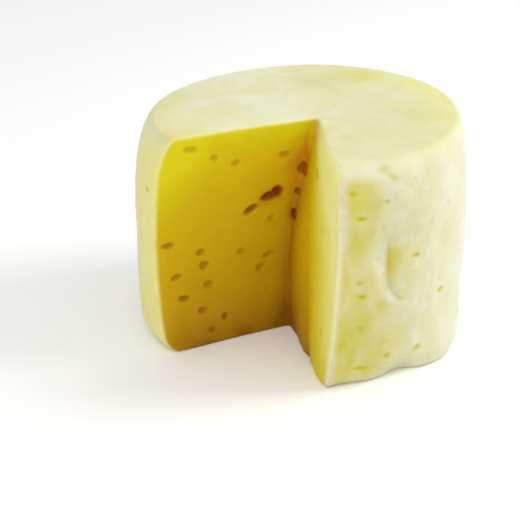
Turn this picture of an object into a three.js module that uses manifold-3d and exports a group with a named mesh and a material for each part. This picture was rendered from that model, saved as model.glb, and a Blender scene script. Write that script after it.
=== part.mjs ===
// A tall wheel of hard, pale yellow cheese with one wedge cut out of it.
// Millimetres, +Z up. The origin is on the table, under the middle of the wheel.
// Angles run anticlockwise from +X. The cut-out opens towards -X and -Y.
import * as THREE from "three";
import { mergeVertices } from "three/addons/utils/BufferGeometryUtils.js";
import Module from "manifold-3d";

const wasm = await Module();
wasm.setup();

// The whole wheel
const RADIUS = 105;
const HEIGHT = 142;
const CROWN = 1.4; // the middle of the top stands this far above its edge
const TOP_SLOPE = { x: 0.012, y: 0.015 }; // the top isn't quite level
const BARREL = 3; // the side draws in this much half a wheel's height from the belly
const BELLY = 55; // height of the widest place
const LOBES = [
  { count: 2, reach: 1.1, peak: 352 },
  { count: 3, reach: 1.7, peak: 50 },
]; // how far from round the wheel is

// The round shoulder at the top and the round foot at the base
const SHOULDER = { inward: 7.4, swing: 4.6, widest: 218, down: 28.5 };
const FOOT = { inward: 6, swing: 4, widest: 176, up: 12 };

// The cut-out: its inner edge leans between two heights, and both walls follow it
const APEX_TOP = [3.6, -17.5];
const APEX_LOW = [-13.4, -15.1];
const LEAN = { from: 50, to: 141, bend: 1.5 };
const RIM_ANGLES = { left: { top: 194.8, low: 198 }, right: { top: 265.2, low: 261.4 } };
const KNIFE_WAVE = { rise: 0.5, along: 17, up: 29, left: 0, right: 2 }; // the cut isn't quite flat
const EDGE_ROUND = 5; // softness of the walls' outer edges

// Where the knife strayed from the right wall's line: place, half-sizes and how far into the cheese
const STRAYS = {
  left: [],
  right: [
    { along: 48, height: 142, long: 27, tall: 22, deep: -2.4 },
    { along: 92, height: 75, long: 32, tall: 45, deep: 1.8 },
    { along: 16, height: 0, long: 8, tall: 20, deep: 0.9 },
    { along: 46, height: 0, long: 4.5, tall: 10, deep: 2 },
    { along: 71, height: 0, long: 9, tall: 14, deep: -1.4 },
  ],
};

// Dents of the rind, and swellings where deep is negative: place, half-sizes and depth
const DENTS = [
  // The lip beside the fold, two dents in the shoulder and a thumb mark
  { angle: 276.8, height: 70, wide: 2.6, tall: 16, deep: -0.8 },
  { angle: 281, height: 135.5, wide: 1.7, tall: 2.6, deep: 1.2 },
  { angle: 283.8, height: 132, wide: 2, tall: 2.6, deep: 1.2 },
  { angle: 287.6, height: 38, wide: 2.6, tall: 5, deep: 0.8 },
  // The uneven foot, with a step that lifts off the table, and the fuller corner beside it
  { angle: 260.5, height: 2, wide: 3.5, tall: 10, deep: -2.6 },
  { angle: 272, height: 2, wide: 9, tall: 12, deep: 2.3 },
  { angle: 288.5, height: 3, wide: 7.5, tall: 9, deep: 6 },
  { angle: 292.5, height: 2, wide: 3, tall: 8, deep: 2.4 },
  { angle: 308, height: 4, wide: 8, tall: 14, deep: -2.6 },
  { angle: 316, height: 12, wide: 17, tall: 18, deep: -2.6 },
  { angle: 344, height: 26, wide: 18, tall: 26, deep: 3.6 },
  // The shoulder drawn in a little at the left
  { angle: 172, height: 126, wide: 22, tall: 12, deep: 0.9 },
];

// A sharp upright fold that hooks over at its lower end. It fades in and out between two heights.
const FOLD = {
  angle: 280.3, hook: 9.5, hookFrom: 52.5, hookUp: 5.9,
  low: [50, 63], high: [86, 100], deep: 2.1, left: 1.8, right: 4,
};

// Holes in the two cut walls: along is counted from the inner edge, and tilt, in degrees, is
// positive where the end on the viewer's right is the higher one
const LEFT_EYES = [
  { along: 0.4, height: 110.2, long: 7.6, tall: 8, deep: 2, tilt: 0 },
  { along: 19.8, height: 95.3, long: 13, tall: 5.6, deep: 4, tilt: 12 },
  { along: 15.4, height: 97.2, long: 7.5, tall: 7.5, deep: 4.2, tilt: 35 },
  { along: 31.6, height: 88.3, long: 11, tall: 4, deep: 3, tilt: 26 },
  { along: 1, height: 95.3, long: 3.5, tall: 5, deep: 2, tilt: 0 },
  { along: 0, height: 80, long: 4, tall: 8, deep: 2.2, tilt: 6 },
  { along: 16.5, height: 121.6, long: 8, tall: 4, deep: 1.2, tilt: 0 },
  { along: 80, height: 132, long: 9, tall: 5, deep: 1.6, tilt: 0 },
  { along: 63, height: 124.7, long: 5, tall: 5, deep: 1.2, tilt: -20 },
  { along: 48, height: 120, long: 6, tall: 4, deep: 1.1, tilt: 25 },
  { along: 15.8, height: 79.5, long: 6, tall: 6, deep: 1, tilt: -8 },
  { along: 34.7, height: 60.7, long: 6, tall: 4, deep: 1.4, tilt: 5 },
  { along: 14.8, height: 54.5, long: 9, tall: 4, deep: 1.4, tilt: 12 },
  { along: 20.5, height: 46.5, long: 7, tall: 5, deep: 1.4, tilt: 30 },
];
const RIGHT_EYES = [
  { along: 3, height: 110, long: 7, tall: 8, deep: 2.2, tilt: 0 },
  { along: 1.8, height: 79.5, long: 4.5, tall: 7, deep: 2, tilt: 0 },
  { along: 26, height: 116, long: 8, tall: 7, deep: 1.8, tilt: 0 },
  { along: 51, height: 90, long: 3, tall: 5, deep: 1.2, tilt: 0 },
  { along: 66, height: 29, long: 5, tall: 6, deep: 1.3, tilt: 0 },
];

// Small pits of the rind beside the cut
const RIND_PITS = [
  { angle: 269.1, height: 126, long: 4.5, tall: 4, deep: 1.1, tilt: 0 },
  { angle: 280.5, height: 119, long: 5, tall: 3, deep: 1, tilt: 0 },
  { angle: 271.8, height: 111, long: 7, tall: 3.4, deep: 1.3, tilt: 0 },
  { angle: 279, height: 103.6, long: 4, tall: 4, deep: 0.7, tilt: 0 },
  { angle: 277.7, height: 84, long: 5.5, tall: 4, deep: 1, tilt: 8 },
  { angle: 285.5, height: 55.5, long: 5, tall: 3, deep: 0.6, tilt: 0 },
  { angle: 292.3, height: 81, long: 6.5, tall: 3, deep: 1.4, tilt: 0 },
  { angle: 271.5, height: 71, long: 4.5, tall: 3, deep: 1, tilt: 0 },
  { angle: 272.2, height: 62, long: 6.5, tall: 3, deep: 1.3, tilt: 0 },
  { angle: 304.8, height: 51, long: 6, tall: 3.6, deep: 1.3, tilt: 0 },
  { angle: 303.4, height: 58, long: 4, tall: 3, deep: 0.8, tilt: 0 },
  { angle: 298.5, height: 98.4, long: 5, tall: 2.6, deep: 0.8, tilt: 10 },
  { angle: 307.7, height: 106.3, long: 4, tall: 5, deep: 0.6, tilt: 0 },
  { angle: 292, height: 128.5, long: 4, tall: 3, deep: 0.7, tilt: 0 },
  { angle: 294.1, height: 18, long: 7, tall: 5, deep: 1.2, tilt: 12 },
  { angle: 281.9, height: 19, long: 5, tall: 3.2, deep: 1.2, tilt: 0 },
  { angle: 279.8, height: 28.7, long: 9, tall: 2.4, deep: 0.5, tilt: 12 },
  { angle: 272.9, height: 13, long: 10, tall: 3, deep: 1, tilt: -6 },
  { angle: 265.8, height: 30, long: 7, tall: 10, deep: 0.5, tilt: 0 },
  { angle: 272.2, height: 41, long: 5, tall: 5, deep: 0.9, tilt: 0 },
];

// Pits and holes out of the front view, spread by a seeded draw
const FAR_PITS = { count: 22, from: 322, to: 552, heights: [14, 124] };
const PIT_SIZES = { long: [3.5, 8], tall: [2.5, 4.5], deep: [0.7, 1.4] };
const FAR_EYES = { count: 9, along: [45, 85], from: 8, to: 76 };
const EYE_SIZES = { long: [4, 9], tall: [3, 5.5], deep: [1.5, 3] };
const MOST_TILT = 20;
const SPREAD = [0.15, 0.85]; // where a drawn hollow may lie in its share of the stretch
const SEED = 7;

// Fineness of the faceted surface
const FRONT = { from: 263, to: 313, step: 2.5 }; // finer where the rind is dented
const COLUMN_STEP = 3.875;
const BASE_ROWS = 2;
const FOOT_ROWS = 4;
const SIDE_ROWS = 13;
const SHOULDER_ROWS = 6;
const TOP_ROWS = 5;
const WALL_COLUMNS = 12;
const EDGE_COLUMNS = 4;
const WALL_ROWS = 16;
const LARGE_HOLLOW = 10; // a hollow this long gets more sides
const HOLLOW_SIDES = { small: 8, large: 14 };
const CUT_REACH = 14; // how far the cutting shape runs past the wheel's base and top
const CUT_CORNER = 2; // its outer corner, in wheel radii
const CUT_MIDDLE = 0.6; // and the middle of its sections
const WELD = 1e-4; // points this near are one point

// A hollow's sections, as shares of its depth and of its length and height
const HOLLOW_SECTIONS = [
  { level: -0.7, girth: 0.66 },
  { level: 0, girth: 1 },
  { level: 1, girth: 1.2 },
];

// Dents fade out between these shares of the radius, so they stay at the side
const DENT_FADE = { from: 0.6, to: 0.85 };

// Brings the middle of the uneven wheel over the origin
const CENTRING = [1.5, 1, 0];

const RIND_COLOUR = 0xe6e6b4;
const { clamp, degToRad: radians, lerp, smoothstep: ease } = THREE.MathUtils;

/** Mulberry32: the same numbers on every run. */
function makeDraw(seed) {
  let state = seed;
  return (low, high) => {
    state = (state + 0x6d2b79f5) | 0;
    let mixed = Math.imul(state ^ (state >>> 15), 1 | state);
    mixed = (mixed + Math.imul(mixed ^ (mixed >>> 7), 61 | mixed)) ^ mixed;
    const share = ((mixed ^ (mixed >>> 14)) >>> 0) / 2 ** 32;
    return low + (high - low) * share;
  };
}

/** Radius of the unworn side at an angle and a height. */
function sideRadius(angle, height) {
  let radius = RADIUS;
  for (const lobe of LOBES) {
    radius += lobe.reach * Math.cos(radians(lobe.count * (angle - lobe.peak)));
  }
  return radius - BARREL * ((height - BELLY) / (HEIGHT / 2)) ** 2;
}

/** How far the shoulder or the foot goes in at an angle. */
function inwardAt(rounding, angle) {
  return rounding.inward + rounding.swing * Math.cos(radians(angle - rounding.widest));
}

/** Height added by the top's slope, in full at the top and nothing at the base. */
function slopeLift(x, y, height) {
  return (height / HEIGHT) * (TOP_SLOPE.x * x + TOP_SLOPE.y * y);
}

/** Depth of the fold at an angle and a height of the side. */
function foldDepth(angle, height) {
  const hooked = FOLD.hook * Math.exp(-Math.max(0, height - FOLD.hookFrom) / FOLD.hookUp);
  const turned = angle - FOLD.angle - hooked;
  const spread = Math.abs(turned) / (turned < 0 ? FOLD.left : FOLD.right);
  return FOLD.deep * Math.exp(-spread) * ease(height, ...FOLD.low) * (1 - ease(height, ...FOLD.high));
}

/** Depth of all dents together at an angle and a height of the side. */
function dentDepth(angle, height) {
  let depth = foldDepth(angle, height);
  for (const dent of DENTS) {
    const turned = ((angle - dent.angle + 540) % 360) - 180;
    const away = (turned / dent.wide) ** 2 + ((height - dent.height) / dent.tall) ** 2;
    depth += dent.deep * Math.exp(-away);
  }
  return depth;
}

/** The rind from the base's middle to the top's middle, as radius and height in rows. */
function profileAt(angle) {
  const quarter = Math.PI / 2;
  const footIn = inwardAt(FOOT, angle);
  const shoulderIn = inwardAt(SHOULDER, angle);
  const shoulderStart = HEIGHT - SHOULDER.down;
  const rows = [];
  const baseRadius = sideRadius(angle, 0) - footIn;
  for (let i = 1; i <= BASE_ROWS; i++) {
    rows.push([(baseRadius * i) / BASE_ROWS, 0]);
  }
  for (let i = 1; i <= FOOT_ROWS; i++) {
    const turn = (quarter * i) / FOOT_ROWS;
    const height = FOOT.up * (1 - Math.cos(turn));
    rows.push([sideRadius(angle, height) - footIn * (1 - Math.sin(turn)), height]);
  }
  for (let i = 1; i <= SIDE_ROWS; i++) {
    const height = FOOT.up + ((shoulderStart - FOOT.up) * i) / SIDE_ROWS;
    rows.push([sideRadius(angle, height), height]);
  }
  for (let i = 1; i <= SHOULDER_ROWS; i++) {
    const turn = (quarter * i) / SHOULDER_ROWS;
    const height = shoulderStart + SHOULDER.down * Math.sin(turn);
    rows.push([sideRadius(angle, height) - shoulderIn * (1 - Math.cos(turn)), height]);
  }
  const topRadius = rows[rows.length - 1][0];
  for (let i = 1; i < TOP_ROWS; i++) {
    const share = 1 - i / TOP_ROWS;
    rows.push([topRadius * share, HEIGHT + CROWN * (1 - share ** 2)]);
  }
  return rows;
}

/** A closed mesh of rings with a middle point at each end, its faces pointing out. */
function ringMesh(rings, lowMiddle, highMiddle) {
  const around = rings[0].length;
  const positions = [...rings.flat(), lowMiddle, highMiddle];
  const low = positions.length - 2;
  const high = positions.length - 1;
  const index = [];
  for (let i = 0; i < around; i++) {
    const next = (i + 1) % around;
    index.push(low, next, i);
    for (let row = 0; row + 1 < rings.length; row++) {
      const a = row * around + i;
      const b = row * around + next;
      index.push(a, b, b + around, a, b + around, a + around);
    }
    const last = (rings.length - 1) * around;
    index.push(last + i, last + next, high);
  }
  const geometry = new THREE.BufferGeometry();
  geometry.setAttribute("position", new THREE.Float32BufferAttribute(positions.flat(), 3));
  geometry.setIndex(index);
  return geometry;
}

/** The angles of the wheel's columns, once round. */
function columnAngles() {
  const angles = [];
  for (let angle = FRONT.from; angle < FRONT.to; angle += FRONT.step) {
    angles.push(angle);
  }
  for (let angle = FRONT.to; angle < FRONT.from + 360; angle += COLUMN_STEP) {
    angles.push(angle);
  }
  return angles;
}

/** The whole wheel before it is cut. */
function wheelGeometry() {
  const columns = [];
  for (const angle of columnAngles()) {
    const across = [Math.cos(radians(angle)), Math.sin(radians(angle))];
    const column = profileAt(angle).map(([radius, height]) => {
      const nearSide = ease(radius, RADIUS * DENT_FADE.from, RADIUS * DENT_FADE.to);
      const reach = radius - nearSide * dentDepth(angle, height);
      const x = reach * across[0];
      const y = reach * across[1];
      return [x, y, height + slopeLift(x, y, height)];
    });
    columns.push(column);
  }
  const rings = columns[0].map((_, row) => columns.map((column) => column[row]));
  return ringMesh(rings, [0, 0, 0], [0, 0, HEIGHT + CROWN]);
}

/** A point where a wall's line meets the rim. */
function rimPoint(angle) {
  return [RADIUS * Math.cos(radians(angle)), RADIUS * Math.sin(radians(angle))];
}

/** A wall's straight line at a height: its inner end, its way out and its way into the cheese. */
function wallLine(side, height) {
  const leaned = clamp((height - LEAN.from) / (LEAN.to - LEAN.from), 0, 1) ** LEAN.bend;
  const start = APEX_LOW.map((value, i) => lerp(value, APEX_TOP[i], leaned));
  const end = rimPoint(lerp(RIM_ANGLES[side].low, RIM_ANGLES[side].top, height / HEIGHT));
  const direction = new THREE.Vector3(end[0] - start[0], end[1] - start[1], 0);
  const length = direction.length();
  direction.normalize();
  const turn = side === "left" ? -1 : 1;
  const inward = new THREE.Vector3(-direction.y * turn, direction.x * turn, 0);
  return { start: new THREE.Vector3(start[0], start[1], height), direction, length, inward };
}

/** A point of a cut wall, with the knife's waves and strays and the soft outer edge. */
function wallPoint(side, along, height) {
  const line = wallLine(side, height);
  const fade = ease(along, 0, KNIFE_WAVE.along);
  const phase = along / KNIFE_WAVE.along + height / KNIFE_WAVE.up + KNIFE_WAVE[side];
  const wave = KNIFE_WAVE.rise * fade * Math.sin(phase);
  const pastEdge = Math.max(0, along - (line.length - EDGE_ROUND));
  let push = wave + pastEdge ** 2 / (2 * EDGE_ROUND);
  for (const stray of STRAYS[side]) {
    const away = ((along - stray.along) / stray.long) ** 2 + ((height - stray.height) / stray.tall) ** 2;
    push += stray.deep * Math.exp(-away);
  }
  const point = line.start.clone().addScaledVector(line.direction, along);
  return point.addScaledVector(line.inward, push);
}

/** A wall's points at a height, from the inner edge to past the rim, close together at the soft edge. */
function wallRow(side, height) {
  const flat = wallLine(side, height).length - EDGE_ROUND;
  const points = [];
  for (let i = 0; i <= WALL_COLUMNS; i++) {
    points.push(wallPoint(side, (flat * i) / WALL_COLUMNS, height).toArray());
  }
  for (let i = 1; i <= EDGE_COLUMNS; i++) {
    points.push(wallPoint(side, flat + (2 * EDGE_ROUND * i) / EDGE_COLUMNS, height).toArray());
  }
  return points;
}

/** The shape that takes the wedge out: stacked sections, each with both walls and an outer corner. */
function cutGeometry() {
  const openSide = rimPoint((RIM_ANGLES.left.top + RIM_ANGLES.right.top) / 2);
  const low = -CUT_REACH;
  const high = HEIGHT + CUT_REACH;
  const rings = [];
  for (let row = 0; row <= WALL_ROWS; row++) {
    const height = low + ((high - low) * row) / WALL_ROWS;
    const right = wallRow("right", height).reverse();
    const left = wallRow("left", height).slice(1);
    rings.push([...right, ...left, [...openSide.map((value) => value * CUT_CORNER), height]]);
  }
  const middle = openSide.map((value) => value * CUT_MIDDLE);
  return ringMesh(rings, [...middle, low], [...middle, high]);
}

/** A small rounded hollow, open above: sized, turned by its tilt and placed on a surface. */
function hollowGeometry(eye, centre, alongAxis, outAxis) {
  const large = Math.max(eye.long, eye.tall) > LARGE_HOLLOW;
  const sides = large ? HOLLOW_SIDES.large : HOLLOW_SIDES.small;
  const rings = HOLLOW_SECTIONS.map(({ level, girth }) => {
    const ring = [];
    for (let i = 0; i < sides; i++) {
      const turn = (2 * Math.PI * i) / sides;
      const x = (girth * eye.long * Math.cos(turn)) / 2;
      const y = (girth * eye.tall * Math.sin(turn)) / 2;
      ring.push([x, y, level * eye.deep]);
    }
    return ring;
  });
  const geometry = ringMesh(rings, [0, 0, -eye.deep], [0, 0, eye.deep]);
  const upAxis = new THREE.Vector3().crossVectors(outAxis, alongAxis);
  const frame = new THREE.Matrix4().makeBasis(alongAxis, upAxis, outAxis).setPosition(centre);
  geometry.rotateZ(radians(eye.tilt));
  return geometry.applyMatrix4(frame);
}

/** A hole in a cut wall. */
function wallHollow(side, eye) {
  const line = wallLine(side, eye.height);
  const along = side === "left" ? line.direction.clone().negate() : line.direction.clone();
  const out = line.inward.clone().negate();
  return hollowGeometry(eye, wallPoint(side, eye.along, eye.height), along, out);
}

/** A pit in the rind, on the dented side or the shoulder. */
function rindHollow(pit) {
  const angle = radians(pit.angle);
  const out = new THREE.Vector3(Math.cos(angle), Math.sin(angle), 0);
  const along = new THREE.Vector3(-out.y, out.x, 0);
  const shoulder = Math.max(0, (pit.height - (HEIGHT - SHOULDER.down)) / SHOULDER.down);
  const drawnIn = inwardAt(SHOULDER, pit.angle) * (1 - Math.sqrt(1 - shoulder ** 2));
  const reach = sideRadius(pit.angle, pit.height) - drawnIn - dentDepth(pit.angle, pit.height);
  const centre = out.clone().multiplyScalar(reach);
  centre.z = pit.height + slopeLift(centre.x, centre.y, pit.height);
  return hollowGeometry(pit, centre, along, out);
}

/** Length, height, depth and tilt of one drawn hollow. */
function drawnSizes(draw, sizes) {
  return {
    long: draw(...sizes.long),
    tall: draw(...sizes.tall),
    deep: draw(...sizes.deep),
    tilt: draw(-MOST_TILT, MOST_TILT),
  };
}

/** Every hole and pit of the wheel, the drawn ones in a fixed order. */
function hollowGeometries() {
  const draw = makeDraw(SEED);
  const hollows = [
    ...LEFT_EYES.map((eye) => wallHollow("left", eye)),
    ...RIGHT_EYES.map((eye) => wallHollow("right", eye)),
    ...RIND_PITS.map(rindHollow),
  ];
  for (let i = 0; i < FAR_PITS.count; i++) {
    const share = (i + draw(...SPREAD)) / FAR_PITS.count;
    const angle = lerp(FAR_PITS.from, FAR_PITS.to, share) % 360;
    const height = draw(...FAR_PITS.heights);
    hollows.push(rindHollow({ angle, height, ...drawnSizes(draw, PIT_SIZES) }));
  }
  for (let i = 0; i < FAR_EYES.count; i++) {
    const height = lerp(FAR_EYES.from, FAR_EYES.to, (i + draw(...SPREAD)) / FAR_EYES.count);
    const along = draw(...FAR_EYES.along);
    hollows.push(wallHollow("left", { along, height, ...drawnSizes(draw, EYE_SIZES) }));
  }
  return hollows;
}

/** A three.js geometry as a solid that can be joined and cut. */
function solidOf(geometry) {
  const bare = geometry.clone();
  bare.deleteAttribute("normal");
  bare.deleteAttribute("uv");
  const merged = mergeVertices(bare, WELD);
  return new wasm.Manifold(new wasm.Mesh({
    numProp: 3,
    vertProperties: new Float32Array(merged.getAttribute("position").array),
    triVerts: new Uint32Array(merged.getIndex().array),
  }));
}

function geometryOf(solid) {
  const mesh = solid.getMesh();
  const geometry = new THREE.BufferGeometry();
  geometry.setAttribute("position", new THREE.BufferAttribute(mesh.vertProperties, 3));
  geometry.setIndex(new THREE.BufferAttribute(mesh.triVerts, 1));
  geometry.computeVertexNormals();
  return geometry;
}

function cheeseGeometry() {
  let cheese = solidOf(wheelGeometry()).subtract(solidOf(cutGeometry()));
  for (const hollow of hollowGeometries()) {
    cheese = cheese.subtract(solidOf(hollow));
  }
  return geometryOf(cheese);
}

const rind = new THREE.MeshStandardMaterial({ color: RIND_COLOUR, roughness: 0.55, metalness: 0 });
const cheese = new THREE.Mesh(cheeseGeometry(), rind);
cheese.name = "cheese_wheel";
cheese.position.set(...CENTRING);

const group = new THREE.Group();
group.add(cheese);

export default group;
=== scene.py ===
"""The looks of a tall wheel of hard, pale yellow cheese with a wedge cut out of it.

Shapes are worked out in millimetres, and angles in degrees, anticlockwise from +X as seen from
above. They go to Blender in metres. The wheel is one closed mesh: a drum that loses its wedge and
then its holes, remeshed so that every edge is a little soft, as on a real cut cheese. Each point
of the mesh carries a few measures, such as how deep it lies under the rind, and the material works
out its colours from them.
"""

import math

import bmesh
import bpy
import numpy as np
from mathutils import Matrix, Vector, noise


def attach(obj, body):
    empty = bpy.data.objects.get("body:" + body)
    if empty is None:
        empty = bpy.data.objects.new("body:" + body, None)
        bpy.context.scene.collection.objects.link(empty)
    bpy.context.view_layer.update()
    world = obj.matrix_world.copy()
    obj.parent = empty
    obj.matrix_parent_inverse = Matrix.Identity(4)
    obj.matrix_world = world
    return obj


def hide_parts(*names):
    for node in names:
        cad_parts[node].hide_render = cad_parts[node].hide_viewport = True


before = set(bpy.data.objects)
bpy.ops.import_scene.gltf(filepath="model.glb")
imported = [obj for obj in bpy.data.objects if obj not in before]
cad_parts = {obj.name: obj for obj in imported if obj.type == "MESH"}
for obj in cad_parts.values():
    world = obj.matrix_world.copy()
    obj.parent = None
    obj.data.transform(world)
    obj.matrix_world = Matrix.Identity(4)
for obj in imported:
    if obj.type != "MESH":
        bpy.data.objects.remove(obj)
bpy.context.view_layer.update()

MM = 0.001
NODE = "cheese_wheel"

# The whole wheel, as its solid has it
RADIUS = 105
HEIGHT = 142
CROWN = 1.4  # how far the top's middle stands above its rim
TOP_SLOPE = (0.012, 0.015)  # how much the top rises along X and along Y
BARREL = 3  # how much narrower the side is half a height away from its belly
BELLY = 55
LOBES = [(2, 1.1, 352), (3, 1.7, 50)]  # count, reach and where the first one peaks
# The roundings draw the rind in by a mean and a swing, most at one angle, over a height
SHOULDER = {"inward": 7.4, "swing": 4.6, "widest": 218, "down": 28.5}
FOOT = {"inward": 6, "swing": 4, "widest": 176, "up": 12}
CENTRING = np.array([1.5, 1.0, 0.0])  # brings the middle of the uneven wheel over the origin

# The cut-out: its inner edge leans over, and its walls run from there to the rim
APEX_TOP = np.array([3.6, -17.5])
APEX_LOW = np.array([-13.4, -15.1])
LEAN = {"from": 50, "to": 141, "bend": 1.5}
RIM_ANGLES = {"left": (198, 194.8), "right": (261.4, 265.2)}  # at the base and at the top
# The knife's slow waves: their rise, how long they are each way, and where they start on each wall
KNIFE_WAVE = {"rise": 0.5, "along": 17, "up": 29, "left": 0, "right": 2}
EDGE_ROUND = 5  # softness of the walls' outer edges
CUT_REACH = 14  # how far the cutting shape runs past the wheel's base and top
CUT_CORNER = 2  # its outer corner, in wheel radii
CUT_MIDDLE = 0.6  # and the middle of its ends

# Where the knife strayed: distance from the inner edge, height, half-length, half-height and how
# far into the cheese
STRAYS = {
    "left": [],
    "right": [(48, 142, 27, 22, -2.4), (92, 75, 32, 45, 1.8), (16, 0, 8, 20, 0.9), (46, 0, 4.5, 10, 2),
              (71, 0, 9, 14, -1.4)],
}

# Dents, and swellings where the depth is negative: angle, height, half-width in degrees,
# half-height and depth
DENTS = [
    (276.8, 70, 2.6, 16, -0.8),
    (281, 135.5, 1.7, 2.6, 1.2),
    (283.8, 132, 2, 2.6, 1.2),
    (287.6, 38, 2.6, 5, 0.8),
    (260.5, 2, 3.5, 10, -2.6),
    (272, 2, 9, 12, 2.3),
    (288.5, 3, 7.5, 9, 6),
    (292.5, 2, 3, 8, 2.4),
    (308, 4, 8, 14, -2.6),
    (316, 12, 17, 18, -2.6),
    (344, 26, 18, 26, 3.6),
    (172, 126, 22, 12, 0.9),
]
# A sharp fold that hooks over at its lower end. It fades in and out between two pairs of heights,
# and away from its line over some degrees to each side.
FOLD = {"angle": 280.3, "hook": 9.5, "hook_from": 52.5, "hook_up": 5.9, "low": (50, 63),
        "high": (86, 100), "deep": 2.1, "left": 1.8, "right": 4}
# Dents fade out between these shares of the radius, so that they stay at the side
DENT_FADE = (0.6, 0.85)

# Holes of the cut walls: distance from the inner edge, height, length, height of the hole, depth,
# tilt and how dark it is, which inside a hole is painted shade. One without depth is only a stain.
LEFT_EYES = [
    (0.4, 110.2, 7.6, 8, 2, 0, 0.3),
    (19.8, 95.3, 13, 5.6, 4, 12, 0.85),
    (15.4, 97.2, 7.5, 7.5, 4.2, 35, 0.95),
    (31.6, 88.3, 11, 4, 3, 26, 0.7),
    (1, 95.3, 3.5, 5, 2, 0, 0.3),
    (0, 80, 4, 8, 2.2, 6, 0.2),
    (16.5, 121.6, 8, 4, 1.2, 0, 0.3),
    (80, 132, 9, 5, 1.6, 0, 0.2),
    (63, 124.7, 5, 5, 1.2, -20, 0.2),
    (48, 120, 6, 4, 1.1, 25, 0.25),
    (15.8, 79.5, 6, 6, 1, -8, 0.12),
    (34.7, 60.7, 6, 4, 1.4, 5, 0.3),
    (14.8, 54.5, 9, 4, 1.4, 12, 0.3),
    (20.5, 46.5, 7, 5, 1.4, 30, 0.3),
]
RIGHT_EYES = [
    (3, 110, 7, 8, 2.2, 0, 0.6),
    (1.8, 79.5, 4.5, 7, 2, 0, 0.4),
    (26, 116, 8, 7, 1.8, 0, 0.2),
    (51, 90, 3, 5, 1.2, 0, 0.15),
    (66, 29, 5, 6, 1.3, 0, 0.15),
]
# Soft reddish places round the holes near the inner edge, given in the same way
LEFT_BLUSHES = [
    (3, 114, 13, 14, 0, 10, 0.3),
    (2.5, 102, 5, 6, 0, 0, 0.3),
    (2, 95, 8, 13, 0, 0, 0.25),
    (2, 82, 7, 16, 0, 0, 0.3),
    (19, 95, 20, 11, 0, 14, 0.25),
]
RIGHT_BLUSHES = [(0, 114, 14, 26, 0, 0, 0.5)]

# Pits of the rind: angle, height, length, height of the pit, tilt, depth and how stained it is
RIND_PITS = [
    (269.1, 126, 4.5, 4, 0, 1.1, 0.8),
    (280.5, 119, 5, 3, 0, 1, 0.5),
    (280.7, 136.5, 8, 6, 0, 0, 0.45),
    (284, 131.5, 9, 3.5, -35, 0, 0.45),
    (271.8, 111, 7, 3.4, 0, 1.3, 0.9),
    (279, 103.6, 4, 4, 0, 0.7, 0.15),
    (277.7, 84, 5.5, 4, 8, 1, 0.1),
    (285.5, 55.5, 5, 3, 0, 0.6, 0.4),
    (292.3, 81, 6.5, 3, 0, 1.4, 0.7),
    (271.5, 71, 4.5, 3, 0, 1, 0.6),
    (272.2, 62, 6.5, 3, 0, 1.3, 1),
    (304.8, 51, 6, 3.6, 0, 1.3, 0.8),
    (303.4, 58, 4, 3, 0, 0.8, 0.1),
    (298.5, 98.4, 5, 2.6, 10, 0.8, 0.2),
    (307.7, 106.3, 4, 5, 0, 0.6, 0.1),
    (292, 128.5, 4, 3, 0, 0.7, 0.15),
    (294.1, 18, 7, 5, 12, 1.2, 0.7),
    (281.9, 19, 5, 3.2, 0, 1.2, 0.8),
    (279.8, 28.7, 9, 2.4, 12, 0.5, 0.3),
    (272.9, 13, 10, 3, -6, 1, 0.9),
    (265.8, 30, 7, 10, 0, 0.5, 0.5),
    (269, 19, 6, 8, 0, 0, 0.3),
    (272.2, 41, 5, 5, 0, 0.9, 0.6),
    (273.5, 48, 8, 7, 0, 0, 0.3),
]

# Pits and holes that the front doesn't show, spread by a seeded draw
SEED = 7
FAR_PITS = {"count": 22, "angles": (322, 552), "heights": (14, 124)}
PIT_SIZES = ((3.5, 8), (2.5, 4.5), (0.7, 1.4))
FAR_EYES = {"count": 9, "along": (45, 85), "heights": (8, 76)}
EYE_SIZES = ((4, 9), (3, 5.5), (1.5, 3))
MOST_TILT = 20
SPREAD = (0.15, 0.85)  # where a drawn hollow may lie in its share of the stretch
FAR_PIT_STAINS = (0.8, 0.3, 0.6, 0.2, 0.9, 0.5, 0.1)
# How dark the painted shade inside the drawn holes is
FAR_EYE_SHADE = 0.35
MASK = 0xFFFFFFFF  # the draw works with 32-bit numbers

# A hollow is cut by an uneven ball: how fine it is, how uneven and how small its lumps are
BALL = {"subdivisions": 3, "uneven": 0.4, "lumps": 1.6}
# Points this many sizes of a hollow away can't be in it
HOLLOW_REACH = 1.5
# A hollow's stain, or the painted shade inside a hole, fades out between these distances past its depth
STAIN_AND_SHADE_FADE = (0.5, 3.5)
# A blush fades in between these measures, where 1 is its edge and 2 its middle
BLUSH_FADE = (0.2, 1.6)

# Unevenness of the skin: size and rise
LUMPS = [(34, 0.45), (11, 0.26), (5.5, 0.17)]
FLAT_BASE = (0.3, 4)  # what lies below the first height comes to the table
# A point is on the base where it faces down this much and lies this low
ON_BASE = {"facing": -0.85, "height": 0.5}

# Wax of the side beside each cut: its strength, where it starts to fade and how fast. At the right
# cut's own edge there is none, which leaves a pale stripe there, partly a painted highlight on the
# rounded edge.
WAX_BY_RIGHT = {"strength": 0.55, "full_to": 268, "fade": 10, "off_cut": (1, 3.2)}
WAX_BY_LEFT = {"strength": 0.25, "full_from": 198, "fade": 22}
IN_CUT = 230  # an angle inside the cut-out

# Wax to the right of the fold's bottom line, in a stripe that widens upwards, which also paints the
# shade of the fold's flank there; and less of it to the left of the line, a painted highlight on the
# fold's lip. Angles are counted from the line.
FOLD_WAX_AND_SHADE = {"from": 0.7, "at": 1.1, "half": 2, "widens": 2.7, "widening": (66, 88), "height": 84,
            "tall": 13}
FOLD_LIP_HIGHLIGHT = {"at": -1, "half": 3, "strength": -0.2}
# A painted highlight on the hook's rim, as a bare place: angle, height, half-width, half-height and
# strength
HOOK_HIGHLIGHT = (-2, 57, 1.7, 6, -0.7)

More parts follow.
